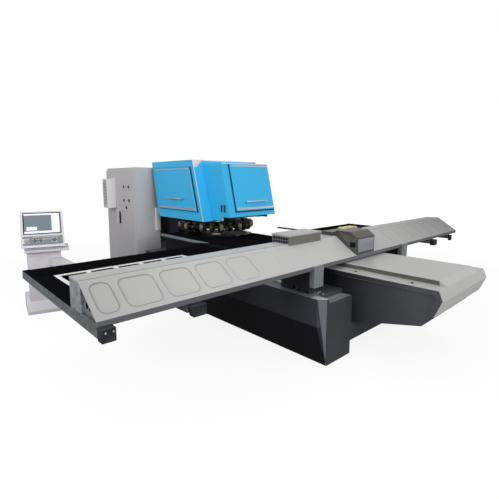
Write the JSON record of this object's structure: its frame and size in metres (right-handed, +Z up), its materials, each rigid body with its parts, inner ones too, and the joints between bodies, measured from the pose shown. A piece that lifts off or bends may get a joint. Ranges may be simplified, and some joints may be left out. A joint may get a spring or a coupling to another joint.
{
  "type": "cnc turret punch press",
  "caption": "Turret punch press with a blue hood over its tool ring, a long sloped beam that moves the brush tables and sheet, a control cabinet and a console",
  "frame": {"origin": "on the floor below the punch, at the centre of the anchor holes", "axes": "+X to the right along the beam, +Y from the beam toward the column, +Z up"},
  "size_m": [5.82, 5.885, 2.042],
  "materials": {
    "charcoal_paint": "semi-matt textured charcoal paint",
    "cover_grey": "satin light grey paint",
    "girder_grey": "satin grey paint",
    "fascia_grey": "satin dark grey paint",
    "box_grey": "satin warm grey paint",
    "galvanised": "galvanised sheet",
    "brush_black": "dense black bristles",
    "light_sheet": "light grey sheet",
    "hood_blue": "gloss sky blue paint",
    "bright_trim": "satin anodised",
    "cabinet_grey": "fine textured grey paint",
    "console_grey": "fine textured pale grey paint",
    "screen": "lit display",
    "ground_steel": "ground steel",
    "tool_steel": "dark tool steel",
    "turret_iron": "oiled iron",
    "motor_cast": "cream paint",
    "button_red": "red",
    "button_green": "green",
    "button_yellow": "yellow",
    "black_plastic": "black",
    "lamp_lens": "clear and tinted lenses"
  },
  "bodies": {
    "base": {"bed": "charcoal_paint", "y_rail_left": "ground_steel", "y_rail_right": "ground_steel", "front_housing": "charcoal_paint", "front_cover": "cover_grey", "centre_table": "light_sheet", "centre_brushes": "brush_black", "c_frame": "charcoal_paint", "hood_rear": "hood_blue", "hood_front": "hood_blue", "hood_base_plate": "charcoal_paint", "spindle_upper": "ground_steel", "spindle_lower": "ground_steel", "cabinet_body": "cabinet_grey", "drive_modules": "ground_steel", "fan_unit": "cabinet_grey", "console_foot": "console_grey", "console_pedestal": "console_grey", "console_shelf": "console_grey", "console_head": "console_grey", "console_screen": "screen", "cable_duct": "console_grey"},
    "gantry": {"girder": "girder_grey", "slope_cover_left": "cover_grey", "slope_cover_right": "cover_grey", "fascia": "fascia_grey", "end_plate_left": "galvanised", "end_plate_right": "galvanised", "post_left": "cover_grey", "post_right": "cover_grey", "runner_blocks": "charcoal_paint", "table_bars_left": "galvanised", "table_bars_right": "galvanised", "brush_table_left": "brush_black", "brush_table_right": "brush_black", "sheet_grid": "light_sheet", "bar_end_blocks": "charcoal_paint", "valve_box": "box_grey", "drive_housing": "box_grey", "drive_motor": "motor_cast", "x_rails": "ground_steel"},
    "carriage": {"x_carriage": "ground_steel"},
    "jaw_left": {"clamp_jaw_left": "ground_steel"},
    "jaw_right": {"clamp_jaw_right": "ground_steel"},
    "turret_top": {"upper_turret": "turret_iron", "punch_tools": "tool_steel"},
    "turret_bottom": {"lower_turret": "turret_iron", "die_set": "tool_steel"},
    "ram": {"ram": "ground_steel"},
    "front_hatch": {"front_hatch": "hood_blue", "front_hatch_fittings": "bright_trim"},
    "side_hatch": {"side_hatch": "hood_blue", "side_hatch_fittings": "bright_trim"},
    "cabinet_door": {"cabinet_door": "cabinet_grey", "door_lamps": "lamp_lens"},
    "door_handle": {"door_handle": "black_plastic"},
    "stop_button": {"stop_button": "button_red"},
    "start_button": {"start_button": "button_green"},
    "hold_button": {"hold_button": "button_yellow"},
    "override_knob": {"override_knob": "black_plastic"}
  },
  "joints": [
    {"name": "y_travel", "type": "slide", "parent": "base", "child": "gantry", "axis": [0, 1, 0], "range_m": [0, 1.25]},
    {"name": "x_travel", "type": "slide", "parent": "gantry", "child": "carriage", "axis": [1, 0, 0], "range_m": [-1.25, 1.25]},
    {"name": "clamp_left", "type": "hinge", "parent": "carriage", "child": "jaw_left", "pos_m": [-0.48, -1.641, 0.957], "axis": [1, 0, 0], "range_deg": [0, 12]},
    {"name": "clamp_right", "type": "hinge", "parent": "carriage", "child": "jaw_right", "pos_m": [0.48, -1.641, 0.957], "axis": [1, 0, 0], "range_deg": [0, 12]},
    {"name": "turret_spin", "type": "hinge", "parent": "base", "child": "turret_top", "pos_m": [0, 0.554, 1.035], "axis": [0, 0, 1], "continuous": true},
    {"name": "die_spin", "type": "hinge", "parent": "base", "child": "turret_bottom", "pos_m": [0, 0.554, 0.81], "axis": [0, 0, 1], "continuous": true},
    {"name": "ram_stroke", "type": "slide", "parent": "base", "child": "ram", "axis": [0, 0, -1], "range_m": [0, 0.03]},
    {"name": "front_hatch_lift", "type": "hinge", "parent": "base", "child": "front_hatch", "pos_m": [0.0575, -0.18026, 1.9711], "axis": [-1, 0, 0], "range_deg": [0, 75]},
    {"name": "side_hatch_lift", "type": "hinge", "parent": "base", "child": "side_hatch", "pos_m": [-0.6503, 0.8, 1.935], "axis": [0, 1, 0], "range_deg": [0, 75]},
    {"name": "cabinet_door_swing", "type": "hinge", "parent": "base", "child": "cabinet_door", "pos_m": [-0.963, 1.525, 1], "axis": [0, 0, 1], "range_deg": [0, 110]},
    {"name": "door_handle_turn", "type": "hinge", "parent": "cabinet_door", "child": "door_handle", "pos_m": [-0.98, 2.1, 1.205], "axis": [-1, 0, 0], "range_deg": [0, 90]},
    {"name": "stop_press", "type": "slide", "parent": "base", "child": "stop_button", "axis": [0.2189, 0.8588, -0.4633], "range_m": [0, 0.006], "stiffness_N_per_m": 600},
    {"name": "start_press", "type": "slide", "parent": "base", "child": "start_button", "axis": [0.2189, 0.8588, -0.4633], "range_m": [0, 0.004], "stiffness_N_per_m": 400},
    {"name": "hold_press", "type": "slide", "parent": "base", "child": "hold_button", "axis": [0.2189, 0.8588, -0.4633], "range_m": [0, 0.004], "stiffness_N_per_m": 400},
    {"name": "override_turn", "type": "hinge", "parent": "base", "child": "override_knob", "pos_m": [-2.36997, 0.96551, 0.97008], "axis": [-0.2189, -0.8588, 0.4633], "range_deg": [-135, 135]}
  ],
  "couplings": [
    {"joint": "die_spin", "follows": "turret_spin", "ratio": 1}
  ]
}
